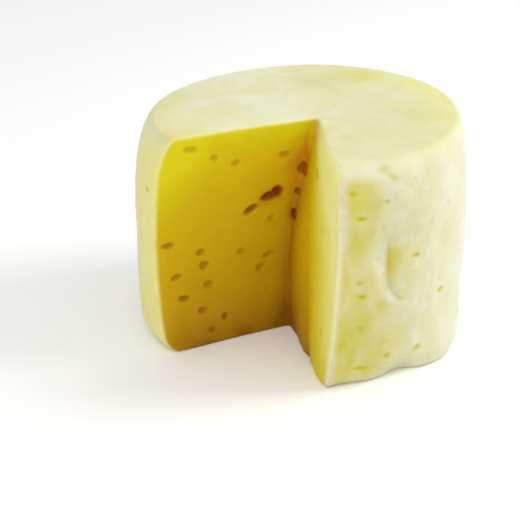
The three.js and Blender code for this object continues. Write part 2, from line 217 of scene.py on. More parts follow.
# Wax on the side, more than the rest has, and less where the strength is negative: angle, height,
# half-width in degrees, half-height and strength
WAX_PATCHES = [
    (270, 119, 4, 13, 0.3),
    (272, 131, 6, 5, 0.1),
    (267.3, 108, 1.5, 22, -0.25),
    (271.5, 100, 5, 9, 0.3),
    (266.5, 74, 1.6, 9, 0.2),
    (273, 47, 4, 8, 0.2),
    (271, 33, 8, 12, 0.35),
    (283, 20, 9, 16, 0.3),
    (273, 12, 8, 6, 0.25),
    (287, 105, 8, 30, 0.15),
    (288, 60, 9, 34, 0.25),
    (278, 119, 3.5, 5, 0.15),
    (281, 127, 5, 9, 0.12),
    # a painted highlight on the fold's lip
    (278, 82, 1.5, 12, -0.15),
    (278.5, 58, 3, 10, 0.15),
    # a painted highlight on the hook's rim
    (282.3, 68, 1.5, 9, -0.2),
    (280, 55, 2.6, 4, 0.15),
    (297, 34, 6, 14, 0.2),
    (325, 70, 26, 200, -0.4),
]

# Darker places of the side, given in the same way
SHADE_PATCHES = [
    (277, 118, 3, 12, 0.06),
    (271.5, 98, 5, 8, 0.05),
    (275, 30, 10, 22, 0.07),
    (290, 34, 6, 14, 0.05),
    (280, 120, 5, 12, 0.06),
    (286, 97, 6, 10, 0.08),
    (283.8, 66, 2.8, 9, 0.03),
    (288, 68, 4, 24, 0.04),
    (279, 56, 3.5, 9, 0.05),
]

# The fold's dark bottom line, between two pairs of heights and darker at its hook
FOLD_LINE = {"at": 1.2, "half": 0.8, "low": (53.5, 56.5), "high": (96, 101), "shade": 0.08, "hook": 57,
             "hook_tall": 6, "hook_shade": 0.16}
# The fold's shaded hollow, by the angle from its line, and the foot of the right wall, by the
# distance along it: place, height, half-width, half-height and strength
FOLD_SHADE = (1.5, 82, 4, 12, 0.12)
WALL_SHADE = (85, 0, 30, 20, 0.14)

# Wax of the whole top, and where there is more of it: a direction, the distances that way between
# which it grows, and how much
TOP_WAX = 0.12
TOP_WAX_RISES = [(-8, -40, 40, 0.2), (-8, 70, 100, 0.06), (185, 50, 95, 0.25)]

# Stains of the top: X, Y, half-width, wax and shade
TOP_PATCHES = [
    (-20, 3, 22, -0.5, 0),
    (-60, -5, 16, -0.3, 0),
    (34, -24, 28, 0, 0.05),
    (27, 51, 20, 0.05, 0.05),
    (59, 54, 14, 0.35, 0),
    (-65, 55, 22, 0.1, 0.025),
    (72, -28, 14, 0.12, 0.02),
]

# Painted light as a lemon tint on the rind beside the left wall, less of it high up, and a lemon tint
# of the top's right rim
LEFT_RIND_LIGHT = {"at": 192, "half": 24, "strength": 0.6, "less_high": 0.45, "high": (130, 141)}
LEMON_RIM = {"at": 5, "half": 30, "radius": 90, "wide": 12, "strength": 0.35}

# The side ends and the top starts between these heights
SIDE_END = (129.5, 137.5)
TOP_START = (138, 141.5)
# The side is less mottled between these angles
CALM = {"less": 0.5, "from": (292, 312), "to": (332, 358)}

# A point stops being on a cut wall between these distances from it
ON_CUT = (1.5, 3.5)
# Off the walls, a point comes to be in a deep hole between these depths under the rind
HOLE_DEPTH = (2.5, 4)
# The paste starts between these depths under the rind, and at the right wall this far from its rim
PASTE_FROM = {"left": (0.1, 2.2), "right": (0.4, 2.4)}
RIM_CLEAR = (3, 10)
# Depth counts this much at the left wall, where the pale band under the rind, partly a painted highlight
# on the cut's rounded edge, shows less
LEFT_DEPTH = 0.3

# The inner edge's painted shade and painted glow start between these distances before it
EDGE_START = (-8, -2)
UPPER = (80, 125)  # the upper part of the walls starts between these heights
# The painted shade of the cut, gold to brown, is deeper at the low inner edge and less deep near the left
# rim
CUT_SHADE = {"corner": 0.12, "reach": 10, "rim": 0.2, "rim_from": (60, 100)}
# Painted shade in the crease along the inner edge: its reach on each wall and its strength, less of it
# high up
CREASE_SHADE = {"left": 4, "right": 7, "strength": 0.7, "less_high": 0.55}
# A faint wide part of that painted shade on the right wall
BESIDE = {"at": 6, "half": 15, "strength": 0.17, "from": (25, 55)}
# Painted light: the glow of light through the cheese round the upper inner edge, with strengths and
# reaches on each wall, and less of it at the top
PAINTED_GLOW = {"left": [(0.3, 4), (0.45, 30)], "right": [(0.9, 4)], "from": (85, 115), "less_high": 0.8,
        "high": (124, 139)}
# The right wall's pale part is painted light and the gold inside it painted shadow. The pale part
# starts past a curved line, the painted shadow's edge, which runs from the inner edge's top down and
# out along the wall
PAINTED_SHADOW_EDGE = {"out": 60, "bend": 56}
# The line is nearer to the edge round one height, and higher up too: by how much, and between
# which heights that grows
PALE_NEARER = {"by": 2.5, "height": 105, "tall": 14}
PALE_RISES = [(2, 108, 136), (6, 124, 138)]
# The wall is palest this far past the line, farther at the foot and less far in the upper part
PALE_REACH = 45
PALE_GROWTH = {"foot": 0.3, "full": (0, 35), "upper": (95, 130)}

# Fineness of the mesh: columns and rows of its first shapes, cells in millimetres, rounds of
# smoothing and how strong each is, and the most triangles that are left
DRUM_COLUMNS = 480
DRUM_ROWS = {"base": 4, "foot": 12, "side": 70, "shoulder": 26, "top": 40}
WALL_COLUMNS = 60
WALL_ROWS = 110
CUT_MESH = {"voxel": 1.1, "smooth": 3}
FINAL_MESH = {"voxel": 0.8, "smooth": 2}
SMOOTHING = 0.5
MOST_TRIANGLES = 190_000

# Colours, as their red, green and blue in a picture
RIND = {
    "white": (222, 223, 214),
    "cream": (220, 220, 192),
    "green": (212, 213, 168),
    "beige": (208, 199, 158),
    "wax": (206, 196, 92),
    "ochre": (186, 172, 66),
    # lemon, also painted light on the left rind
    "lemon_and_light": (232, 227, 122),
    "pit": (196, 192, 10),
    "shade": (120, 102, 30),
}
PASTE = {
    # the pale band under the rind, partly a painted highlight on the cut's rounded edges
    "edge": (226, 224, 168),
    # painted shade of the cut, gold at the top and brown at the foot
    "gold": [(0, (214, 200, 16)), (0.08, (206, 189, 6)), (0.25, (201, 171, 4)), (0.55, (197, 160, 3)),
             (0.82, (184, 140, 2)), (0.95, (163, 118, 2)), (1, (138, 97, 1))],
    # the right wall's painted lit part
    "pale": [(0, (210, 187, 14)), (0.16, (212, 198, 50)), (0.45, (224, 216, 96)), (0.8, (232, 228, 130)),
             (1, (235, 233, 144))],
    # painted shade in the crease
    "crease_shade": (146, 72, 0),
    # painted light, glowing through the cheese
    "painted_glow": (216, 142, 0),
    "blush": (172, 80, 0),
    # painted shade inside the holes
    "eye": (140, 44, 0),
}

# The material's soft noise: size in millimetres, detail, upright stretch, and what is eased to what
MOTTLES = {
    "blotches": (26, 3, 1, (0.3, 0.7), (0, 1)),
    "streaks": (12, 3, 2.5, (0.25, 0.8), (0.15, 0.8)),
    "flecks": (8, 2, 1, (0.5, 0.72), (0, 0.45)),
    "patches": (14, 3, 2, (0.3, 0.7), (-0.3, 0.3)),
    "faint": (40, 2, 1, (0.5, 0.75), (0, 0.2)),
    "drift": (22, 3, 1, (0.3, 0.7), (-0.03, 0.03)),
    "rough": (6, 3, 1, (0.3, 0.7), (0.45, 0.6)),
}
PASTE_ROUGHER = 0.15  # how much rougher than the rind the paste is
GRAIN = {"size": 1.3, "detail": 4, "strength": 0.25, "rise": 0.25}  # fine bumps, in millimetres

# The measures between which one colour turns into the next
# Wax below 0 turns white, which paints the fold's highlights, and past 1 ochre, which darkens the fold's
# painted shade
WAX_TURNS = {"white": (0, -1), "wax": (0, 1), "ochre": (0.9, 1.6)}
STAIN_AND_SHADE_TURNS = {"pit": (0.5, 1.6), "eye": (0.5, 1.4)}
PALE_TURN = (-0.25, 0.05)
UNDER_TURN = (0.3, 1.2)

# What the material's shader has all over. The subsurface scale is in metres.
SHADER = {
    "Subsurface Weight": 0.4,
    "Subsurface Radius": (1, 0.75, 0.25),
    "Subsurface Scale": 7 * MM,
    "Specular IOR Level": 0.12,
}
# The factor and colour inputs of a mix node, and its colour output
MIX_INPUTS = (0, 6, 7)
MIX_OUTPUT = 2

# The camera, from the photograph: focal length in pixels of a 520-pixel frame, and where the
# wheel's origin shows from the middle of the frame
PHOTO = {"width": 520, "focal": 1300, "x": 42.0, "y": 53.0}
CAMERA = {"turn": -15, "pitch": 24.79, "roll": -0.36, "distance": 872}
SENSOR = 36

# The studio, in metres: a floor, two soft square lights and an even light all round. Azimuth says
# where a light stands, from +X, and elevation how high it stands over the wheel's middle.
FLOOR = {"half": 4, "colour": (0.95, 0.95, 0.95, 1), "roughness": 0.9}
LIGHTS = {
    "key": {"azimuth": -8, "elevation": 38, "distance": 1.6, "size": 0.6, "power": 11.3},
    "fill": {"azimuth": 238, "elevation": 42, "distance": 1.8, "size": 1.2, "power": 8.3},
}
WORLD_STRENGTH = 0.75


def ease(value, low, high):
    """0 to 1 between two values, with a soft start and end."""
    share = np.clip((value - low) / (high - low), 0, 1)
    return share * share * (3 - 2 * share)


def bell(value, middle, half):
    """1 at the middle, and less and less to both sides of it."""
    return np.exp(-(((value - middle) / half) ** 2))


def turned_from(angle, middle):
    """The angle from a middle one, between -180 and 180 degrees."""
    return (angle - middle + 540) % 360 - 180


def spot(place, height, patch):
    """The strength of one soft patch: place, height, half-width, half-height, strength."""
    at, up, wide, tall, strength = patch
    return strength * bell(place, at, wide) * bell(height, up, tall)


def patches_at(angle, height, patches):
    """The strength of soft patches together: angle, height, half-width, half-height, strength."""
    total = 0
    for at, *patch in patches:
        total = total + spot(turned_from(angle, at), height, (0, *patch))
    return total


def top_patches_at(x, y):
    """Wax and shade of the top's stains together."""
    totals = np.zeros((2, len(x)))
    for at_x, at_y, half, *strengths in TOP_PATCHES:
        totals += np.outer(strengths, bell(np.hypot(x - at_x, y - at_y), 0, half))
    return totals


def across(angle):
    """The direction of an angle in plan."""
    return np.stack([np.cos(np.radians(angle)), np.sin(np.radians(angle))], axis=-1)


def side_radius(angle, height):
    """The rind's radius without its rounded shoulder and foot."""
    radius = RADIUS - BARREL * ((height - BELLY) / (HEIGHT / 2)) ** 2
    for count, reach, peak in LOBES:
        radius = radius + reach * np.cos(np.radians(count * (angle - peak)))
    return radius


def inward_at(rounding, angle):
    """How far a rounding draws the rind in."""
    return rounding["inward"] + rounding["swing"] * np.cos(np.radians(angle - rounding["widest"]))


def outer_radius(angle, height):
    """The rind's radius with its rounded shoulder and foot, and without its dents."""
    shoulder = np.clip((height - HEIGHT) / SHOULDER["down"] + 1, 0, 1)
    foot = np.clip(1 - height / FOOT["up"], 0, 1)
    drawn_in = inward_at(SHOULDER, angle) * (1 - np.sqrt(1 - shoulder**2))
    drawn_in = drawn_in + inward_at(FOOT, angle) * (1 - np.sqrt(1 - foot**2))
    return side_radius(angle, height) - drawn_in


def slope_lift(x, y, height):
    """How far the top's slope lifts a point."""
    return height / HEIGHT * (TOP_SLOPE[0] * x + TOP_SLOPE[1] * y)


def fold_place(angle, height):
    """The angle from the fold's bottom line, and how much of the fold there is at a height."""
    low, high = FOLD["low"], FOLD["high"]
    hook = FOLD["hook"] * np.exp(-np.clip(height - FOLD["hook_from"], 0, None) / FOLD["hook_up"])
    return angle - FOLD["angle"] - hook, ease(height, *low) * (1 - ease(height, *high))


def dent_depth(angle, height):
    """How deep the rind is dented, with its fold."""
    turned, share = fold_place(angle, height)
    spread = np.abs(turned) / np.where(turned < 0, FOLD["left"], FOLD["right"])
    return patches_at(angle, height, DENTS) + FOLD["deep"] * np.exp(-spread) * share


def drum_rings():
    """The rind from the base's middle to the top's middle, as rings of points."""
    angle = np.arange(DRUM_COLUMNS) * 360 / DRUM_COLUMNS
    low, high = FOOT["up"], HEIGHT - SHOULDER["down"]
    quarter = math.pi / 2
    heights = [low * (1 - math.cos(quarter * i / DRUM_ROWS["foot"])) for i in range(DRUM_ROWS["foot"])]
    heights += list(np.linspace(low, high, DRUM_ROWS["side"]))
    turns = [quarter * (i + 1) / DRUM_ROWS["shoulder"] for i in range(DRUM_ROWS["shoulder"])]
    heights += [high + SHOULDER["down"] * math.sin(turn) for turn in turns]
    base, top = outer_radius(angle, 0), outer_radius(angle, HEIGHT)
    rows = [(base * (i + 1) / (DRUM_ROWS["base"] + 1), 0) for i in range(DRUM_ROWS["base"])]
    rows += [(outer_radius(angle, height), height) for height in heights]
    for i in range(1, DRUM_ROWS["top"]):
        share = 1 - i / DRUM_ROWS["top"]
        rows.append((top * share, HEIGHT + CROWN * (1 - share**2)))
    rings = []
    for radius, height in rows:
        at_side = ease(radius, RADIUS * DENT_FADE[0], RADIUS * DENT_FADE[1])
        plan = across(angle) * (radius - at_side * dent_depth(angle, height))[:, None]
        lift = height + slope_lift(plan[:, 0], plan[:, 1], height)
        rings.append(np.column_stack([plan, lift]))
    return rings


def wall_line(side, height):
    """A wall at a height: its inner end, its direction, its way into the cheese and its length."""
    height = np.asarray(height, dtype=float)
    lean = np.clip((height - LEAN["from"]) / (LEAN["to"] - LEAN["from"]), 0, 1) ** LEAN["bend"]
    start = APEX_LOW + (APEX_TOP - APEX_LOW) * lean[..., None]
    low, high = RIM_ANGLES[side]
    reach = across(low + (high - low) * height / HEIGHT) * RADIUS - start
    length = np.hypot(reach[..., 0], reach[..., 1])
    direction = reach / length[..., None]
    turn = -1 if side == "left" else 1
    inward = np.stack([-direction[..., 1], direction[..., 0]], axis=-1) * turn
    return start, direction, inward, length


def wall_push(side, along, height, length):
    """How far a wall lies behind its line: the knife's waves and strays, and the soft outer edge."""
    fade = ease(along, 0, KNIFE_WAVE["along"])
    phase = along / KNIFE_WAVE["along"] + height / KNIFE_WAVE["up"] + KNIFE_WAVE[side]
    past_edge = np.maximum(0, along - (length - EDGE_ROUND))
    push = KNIFE_WAVE["rise"] * fade * np.sin(phase) + past_edge**2 / (2 * EDGE_ROUND)
    for stray in STRAYS[side]:
        push = push + spot(along, height, stray)
    return push


def wall_points(side, along, height):
    """Points of a wall at one height."""
    start, direction, inward, length = wall_line(side, height)
    along = np.asarray(along, dtype=float)
    push = wall_push(side, along, height, length)
    plan = start + direction * along[..., None] + inward * push[..., None]
    return np.concatenate([plan, np.full(plan.shape[:-1] + (1,), height)], axis=-1)


def cut_rings():
    """The shape that takes the wedge out, as a stack of sections, and its middle in plan."""
    outside = across((RIM_ANGLES["left"][1] + RIM_ANGLES["right"][1]) / 2) * RADIUS
    rings = []
    for height in np.linspace(-CUT_REACH, HEIGHT + CUT_REACH, WALL_ROWS + 1):
        walls = []
        for side in ("right", "left"):
            length = wall_line(side, height)[3]
            walls.append(wall_points(side, np.linspace(0, length + EDGE_ROUND, WALL_COLUMNS + 1), height))
        corner = [[*(outside * CUT_CORNER), height]]
        rings.append(np.concatenate([walls[0][::-1], walls[1][1:], corner]))
    return rings, outside * CUT_MIDDLE


def object_from(name, points, faces):
    """A mesh object from points in millimetres of the uncentred wheel."""
    mesh = bpy.data.meshes.new(name)
    mesh.from_pydata(((np.asarray(points) + CENTRING) * MM).tolist(), [], faces)
    obj = bpy.data.objects.new(name, mesh)
    bpy.context.scene.collection.objects.link(obj)
    return obj


def ring_object(name, rings, low_middle, high_middle):
    """A closed mesh from rings, with a middle point at each end and its faces pointing out."""
    around = len(rings[0])
    points = [*np.concatenate(rings), low_middle, high_middle]
    low, high = len(points) - 2, len(points) - 1
    last = (len(rings) - 1) * around
    faces = []
    for i in range(around):
        j = (i + 1) % around
        faces.append((low, j, i))
        faces.append((last + i, last + j, high))
        for row in range(0, last, around):
            faces.append((row + i, row + j, row + j + around, row + i + around))
    return object_from(name, points, faces)


def wall_frame(side, along, height):
    """A place on a wall, the level way along it and the way out of it."""
    _, direction, inward, _ = wall_line(side, height)
    level = -direction if side == "left" else direction
    return wall_points(side, along, height), np.array([*level, 0]), np.array([*-inward, 0])


def rind_frame(angle, height):
    """A place on the rind, the level way along it and the way out of it."""
    out = across(angle)
    plan = out * (outer_radius(angle, height) - dent_depth(angle, height))
    centre = np.array([*plan, height + slope_lift(*plan, height)])
    return centre, np.array([-out[1], out[0], 0]), np.array([*out, 0])


def make_draw(seed):
    """Mulberry32, which draws the same numbers here as in the solid's source."""
    state = seed

    def draw(low, high):
        nonlocal state
        state = (state + 0x6D2B79F5) & MASK
        mixed = (state ^ (state >> 15)) * (1 | state) & MASK
        mixed = (mixed + ((mixed ^ (mixed >> 7)) * (61 | mixed) & MASK) & MASK) ^ mixed
        return low + (high - low) * (mixed ^ (mixed >> 14)) / (MASK + 1)

    return draw


def drawn_sizes(draw, sizes):
    """Length, height and depth of a hollow, and its tilt."""
    return [draw(*size) for size in sizes], draw(-MOST_TILT, MOST_TILT)


def all_hollows():
    """Every hole and pit as its kind, its frame and its sizes, the drawn ones in a fixed order."""
    hollows = []
    groups = (
        ("eye", "left", LEFT_EYES),
        ("eye", "right", RIGHT_EYES),
        ("blush", "left", LEFT_BLUSHES),
        ("blush", "right", RIGHT_BLUSHES),
    )
    for kind, side, places in groups:
        for along, height, long, tall, deep, tilt, stain_or_shade in places:
            hollows.append((kind, wall_frame(side, along, height), (long, tall, deep), tilt, stain_or_shade))
    for angle, height, long, tall, tilt, deep, stain_or_shade in RIND_PITS:
        hollows.append(("pit", rind_frame(angle, height), (long, tall, deep), tilt, stain_or_shade))
    draw = make_draw(SEED)
    low, high = FAR_PITS["angles"]
    for i in range(FAR_PITS["count"]):
        angle = low + (high - low) * (i + draw(*SPREAD)) / FAR_PITS["count"]
        place = rind_frame(angle % 360, draw(*FAR_PITS["heights"]))
        stain_or_shade = FAR_PIT_STAINS[i % len(FAR_PIT_STAINS)]
        hollows.append(("pit", place, *drawn_sizes(draw, PIT_SIZES), stain_or_shade))
    low, high = FAR_EYES["heights"]
    for i in range(FAR_EYES["count"]):
        height = low + (high - low) * (i + draw(*SPREAD)) / FAR_EYES["count"]
        place = wall_frame("left", draw(*FAR_EYES["along"]), height)
        hollows.append(("eye", place, *drawn_sizes(draw, EYE_SIZES), FAR_EYE_SHADE))
    return hollows


def hollow_basis(level, out, tilt):
    """The axes of a hollow, as rows: its length, its height and its depth."""
    up = np.cross(out, level)
    cos, sin = across(tilt)
    return np.array([level * cos + up * sin, up * cos - level * sin, out])


def hollow_objects(hollows):
    """The uneven balls that cut the hollows, without those that are only stains."""
    ball = bmesh.new()
    bmesh.ops.create_icosphere(ball, subdivisions=BALL["subdivisions"], radius=1)
    sphere = [v.co.copy() for v in ball.verts]
    faces = [tuple(v.index for v in face.verts) for face in ball.faces]
    ball.free()
    objects = []
    cut_in = [hollow for hollow in hollows if hollow[2][2] > 0]
    for i, (_, (centre, level, out), (long, tall, deep), tilt, _) in enumerate(cut_in):
        shift = Vector((i, 2 * i, 0))
        lumps = np.array([noise.noise(co * BALL["lumps"] + shift) for co in sphere])
        uneven = (1 + BALL["uneven"] * lumps)[:, None]
        local = np.array(sphere) * uneven * (long / 2, tall / 2, deep)
        points = centre + local @ hollow_basis(level, out, tilt)
        objects.append(object_from(f"hollow_{i}", points, faces))
    return objects


def modified(obj, *modifiers):
    """Applies modifiers, each given as its type and its values, to an object's mesh."""
    for kind, values in modifiers:
        modifier = obj.modifiers.new(kind, kind)
        for name, value in values.items():
            setattr(modifier, name, value)
    graph = bpy.context.evaluated_depsgraph_get()
    mesh = bpy.data.meshes.new_from_object(obj.evaluated_get(graph))
    obj.modifiers.clear()
    old = obj.data
    obj.data = mesh
    bpy.data.meshes.remove(old)


def subtract(obj, others):
    """Cuts closed objects out of another and removes them."""
    cutters = bpy.data.collections.new("cutters")
    bpy.context.scene.collection.children.link(cutters)
    for other in others:
        cutters.objects.link(other)
    values = {"operation": "DIFFERENCE", "operand_type": "COLLECTION", "solver": "MANIFOLD"}
    modified(obj, ("BOOLEAN", {**values, "collection": cutters}))
    for other in others:
        bpy.data.objects.remove(other)
    bpy.data.collections.remove(cutters)


def remesh(obj, voxel, smooth):
    """Makes an object's mesh anew from even small cells, and smooths it."""
    modified(
        obj,
        ("REMESH", {"mode": "VOXEL", "voxel_size": voxel * MM}),
        ("SMOOTH", {"factor": SMOOTHING, "iterations": smooth}),
    )


def points_of(mesh):
    """A mesh's points in millimetres of the uncentred wheel."""
    flat = np.empty(len(mesh.vertices) * 3, dtype=np.float32)
    mesh.vertices.foreach_get("co", flat)
    return flat.reshape(-1, 3).astype(float) / MM - CENTRING


def normals_of(mesh):
    """The ways out of a mesh at its points."""
    flat = np.empty(len(mesh.vertices) * 3, dtype=np.float32)
    mesh.vertex_normals.foreach_get("vector", flat)
    return flat.reshape(-1, 3)


def make_uneven(mesh):
    """Moves points in and out by soft lumps, and makes the base flat."""
    points = points_of(mesh)
    rise = np.zeros(len(points))
    for size, reach in LUMPS:
        rise += [reach * noise.noise(Vector(point / size)) for point in points]
    points += normals_of(mesh) * (rise * ease(points[:, 2], *FLAT_BASE))[:, None]
    low, high = FLAT_BASE
    flattened = np.clip(points[:, 2] - low, 0, None) * high / (high - low)
    points[:, 2] = np.where(points[:, 2] < high, flattened, points[:, 2])
    mesh.vertices.foreach_set("co", ((points + CENTRING) * MM).astype(np.float32).ravel())
    mesh.update()


def build_wheel(hollows):
    """The cheese as one mesh."""
    wheel = ring_object(NODE + "_skin", drum_rings(), (0, 0, 0), (0, 0, HEIGHT + CROWN))
    rings, middle = cut_rings()
    cut = ring_object("cut", rings, (*middle, -CUT_REACH), (*middle, HEIGHT + CUT_REACH))
    subtract(wheel, [cut])
    remesh(wheel, **CUT_MESH)
    subtract(wheel, hollow_objects(hollows))
    remesh(wheel, **FINAL_MESH)
    make_uneven(wheel.data)
    triangles = sum(len(polygon.vertices) - 2 for polygon in wheel.data.polygons)
    modified(wheel, ("DECIMATE", {"ratio": min(1, MOST_TRIANGLES / triangles)}))
    wheel.data.polygons.foreach_set("use_smooth", [True] * len(wheel.data.polygons))
    return wheel


def wall_places(side, points):
    """For each point, how far along a wall it lies, how deep behind it, and the wall's length."""
    height = np.clip(points[:, 2], 0, HEIGHT)
    start, direction, inward, length = wall_line(side, height)
    offset = points[:, :2] - start
    along = (offset * direction).sum(axis=1)
    behind = (offset * inward).sum(axis=1) - wall_push(side, along, height, length)
    return along, np.where(along > EDGE_START[0], behind, RADIUS), length


def hollow_fields(points, hollows, kind):
    """How near each point lies to a hollow's middle, 1 at the edge and 2 at the middle, and its stain, or
    for a hole its painted shade.
    """
    share, stains_or_shades = np.zeros(len(points)), np.zeros(len(points))
    for hollow_kind, (centre, level, out), (long, tall, deep), tilt, stain_or_shade in hollows:
        if hollow_kind == kind:
            reach = max(long, tall, deep) * HOLLOW_REACH
            near = np.flatnonzero(np.abs(points - centre).max(axis=1) < reach)
            local = (points[near] - centre) @ hollow_basis(level, out, tilt).T
            inside = 2 - np.hypot(local[:, 0] / (long / 2), local[:, 1] / (tall / 2))
            inside = inside * (1 - ease(np.abs(local[:, 2]), *np.add(STAIN_AND_SHADE_FADE, deep)))
            nearest = inside > share[near]
            share[near[nearest]] = inside[nearest]
            stains_or_shades[near[nearest]] = stain_or_shade
    return share, stains_or_shades


def rind_depth(points, normals, angle, radius, height, near_cut):
    """How deep the points lie under the rind, where they belong to a cut wall or a deep hole."""
    under_side = outer_radius(angle, np.clip(height, 0, HEIGHT)) - dent_depth(angle, height) - radius
    under_top = HEIGHT + CROWN * (1 - (radius / RADIUS) ** 2) - height
    depth = np.clip(np.minimum(under_side, under_top), 0, None)
    on_cut = 1 - ease(near_cut, *ON_CUT)
    depth = depth * np.maximum(on_cut, ease(depth, *HOLE_DEPTH))
    on_base = (normals[:, 2] < ON_BASE["facing"]) & (points[:, 2] < ON_BASE["height"])
    return np.where(on_base, 0, depth)


def side_wax_and_light(angle, height):
    """Wax on the side: along both cuts, in patches and in the fold, where it also paints the shade of the
    fold's flank and, as bare places, highlights on its lip and hook.
    """
    low, high = RIM_ANGLES["right"]
    from_cut = angle - (low + (high - low) * height / HEIGHT)
    past_right = np.clip(angle - WAX_BY_RIGHT["full_to"], 0, None)
    by_right = WAX_BY_RIGHT["strength"] * bell(past_right, 0, WAX_BY_RIGHT["fade"])
    by_right = by_right * ease(from_cut, *WAX_BY_RIGHT["off_cut"])
    past_left = np.clip(WAX_BY_LEFT["full_from"] - angle, 0, None)
    by_left = WAX_BY_LEFT["strength"] * bell(past_left, 0, WAX_BY_LEFT["fade"])
    wax = np.where(angle > IN_CUT, by_right, by_left) + patches_at(angle, height, WAX_PATCHES)

    turned, fold = fold_place(angle, height)
    half = FOLD_WAX_AND_SHADE["half"] + FOLD_WAX_AND_SHADE["widens"] * ease(height, *FOLD_WAX_AND_SHADE["widening"])
    lip_highlight = FOLD_LIP_HIGHLIGHT["strength"] * bell(turned, FOLD_LIP_HIGHLIGHT["at"], FOLD_LIP_HIGHLIGHT["half"])
    stripe = np.where(turned > FOLD_WAX_AND_SHADE["from"], bell(turned, FOLD_WAX_AND_SHADE["at"], half), lip_highlight)
    stripe = stripe * fold * bell(height, FOLD_WAX_AND_SHADE["height"], FOLD_WAX_AND_SHADE["tall"])
    return wax + stripe + spot(turned, height, HOOK_HIGHLIGHT)


def top_wax(angle, radius):
    """Wax on the top: more of it to the right and at the left rim."""
    wax = TOP_WAX
    for toward, low, high, more in TOP_WAX_RISES:
        distance = radius * np.cos(np.radians(angle - toward))
        wax = wax + more * ease(distance, low, high)
    return wax


def shade_of(angle, height, right_along, on_right):
    """Darker places: the fold's bottom line and hollow, the foot of the right wall, and patches."""
    turned, _ = fold_place(angle, height)
    hook = bell(height, FOLD_LINE["hook"], FOLD_LINE["hook_tall"])
    line = bell(turned, FOLD_LINE["at"], FOLD_LINE["half"])
    line = line * ease(height, *FOLD_LINE["low"]) * (1 - ease(height, *FOLD_LINE["high"]))
    line = line * (FOLD_LINE["shade"] + FOLD_LINE["hook_shade"] * hook)
    wall = spot(right_along, height, WALL_SHADE) * on_right
    return line + spot(turned, height, FOLD_SHADE) + wall + patches_at(angle, height, SHADE_PATCHES)


def cut_shade_depth(left_along, corner, height, is_left):
    """How deep the painted shade of the cut is, from 0 at the top to about 1 at the foot."""
    in_corner = CUT_SHADE["corner"] * np.exp(-corner / CUT_SHADE["reach"]) * (1 - ease(height, *UPPER))
    by_rim = CUT_SHADE["rim"] * ease(left_along, *CUT_SHADE["rim_from"]) * is_left
    return 1 - height / HEIGHT + in_corner - by_rim


def crease_shade_of(corner, height, at_edge, is_left):
    """Painted shade in the crease along the inner edge, with its faint wide part on the right wall."""
    reach = np.where(is_left, CREASE_SHADE["left"], CREASE_SHADE["right"])
    strength = CREASE_SHADE["strength"] - CREASE_SHADE["less_high"] * ease(height, *UPPER)
    beside = BESIDE["strength"] * bell(corner, BESIDE["at"], BESIDE["half"])
    beside = beside * ease(height, *BESIDE["from"]) * ~is_left
    return np.exp(-corner / reach) * at_edge * strength + beside


def fall_off(distance, parts):
    """What falls off with a distance, in parts of a strength and a reach."""
    return sum(strength * np.exp(-distance / reach) for strength, reach in parts)


def painted_glow_of(corner, height, at_edge, is_left):
    """Painted light: the orange glow of light through the cheese round the upper part of the inner edge.
    """
    left, right = [fall_off(corner, PAINTED_GLOW[side]) for side in ("left", "right")]
    painted_glow = np.where(is_left, left, right) * at_edge * ease(height, *PAINTED_GLOW["from"])
    return painted_glow * (1 - PAINTED_GLOW["less_high"] * ease(height, *PAINTED_GLOW["high"]))


def painted_lit_part_of(right_along, height, is_left):
    """How far a point lies inside the right wall's painted lit part, past the painted shadow's edge,
    below 0 outside it.
    """
    past = right_along - PAINTED_SHADOW_EDGE["out"] * (1 - np.exp((height - HEIGHT) / PAINTED_SHADOW_EDGE["bend"]))
    for nearer, low, high in PALE_RISES:
        past = past + nearer * ease(height, low, high)
    past = past + PALE_NEARER["by"] * bell(height, PALE_NEARER["height"], PALE_NEARER["tall"])
    past = np.where(is_left, -PALE_REACH, past)
    foot, full = PALE_GROWTH["foot"], PALE_GROWTH["full"]
    growth = foot + (1 - foot) * ease(height, *full) + ease(height, *PALE_GROWTH["upper"])
    return np.where(past > 0, past * growth, past)


def lemon_and_light_of(angle, radius, height, on_top):
    """Painted light on the left rind as a lemon tint, and the lemon tint of the top's right rim."""
    side = LEFT_RIND_LIGHT["strength"] - LEFT_RIND_LIGHT["less_high"] * ease(height, *LEFT_RIND_LIGHT["high"])
    side = side * bell(turned_from(angle, LEFT_RIND_LIGHT["at"]), 0, LEFT_RIND_LIGHT["half"])
    rim = bell(turned_from(angle, LEMON_RIM["at"]), 0, LEMON_RIM["half"])
    rim = rim * bell(radius, LEMON_RIM["radius"], LEMON_RIM["wide"]) * on_top
    return side + LEMON_RIM["strength"] * rim


